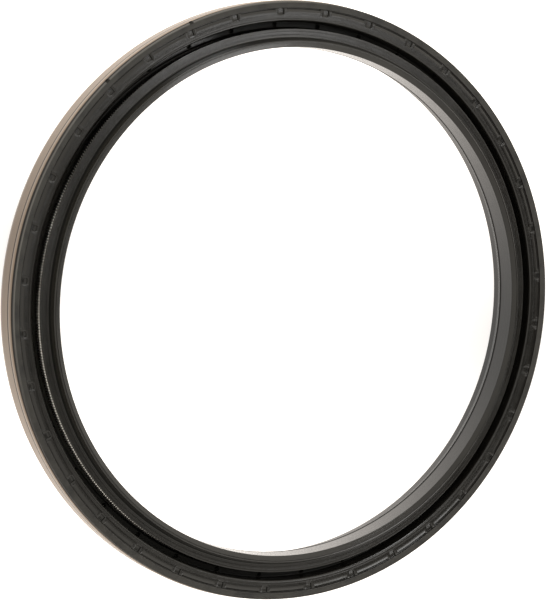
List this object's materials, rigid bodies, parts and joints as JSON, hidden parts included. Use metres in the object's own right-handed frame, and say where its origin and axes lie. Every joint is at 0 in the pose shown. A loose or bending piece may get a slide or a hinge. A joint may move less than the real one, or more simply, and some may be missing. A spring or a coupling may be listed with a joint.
{
  "type": "radial shaft seal",
  "caption": "Large rotary shaft lip seal: rubber body moulded on a drawn steel case, with a garter spring behind the sealing lip. Seals a turning shaft in a housing bore.",
  "frame": {"origin": "centre of the back face, on the shaft's axis", "axes": "+Z along the shaft's axis, from the back face to the spring side; +X and +Y in the plane of the ring"},
  "size_m": [0.2, 0.2, 0.015],
  "materials": {
    "rubber": "satin moulded rubber with fine turned mould lines",
    "case_steel": "satin tan bonding coat on drawn steel",
    "spring_steel": "bright drawn spring wire"
  },
  "bodies": {
    "root": {"rubber_body": "rubber", "case_ring": "case_steel", "garter_spring": "spring_steel"}
  },
  "joints": []
}
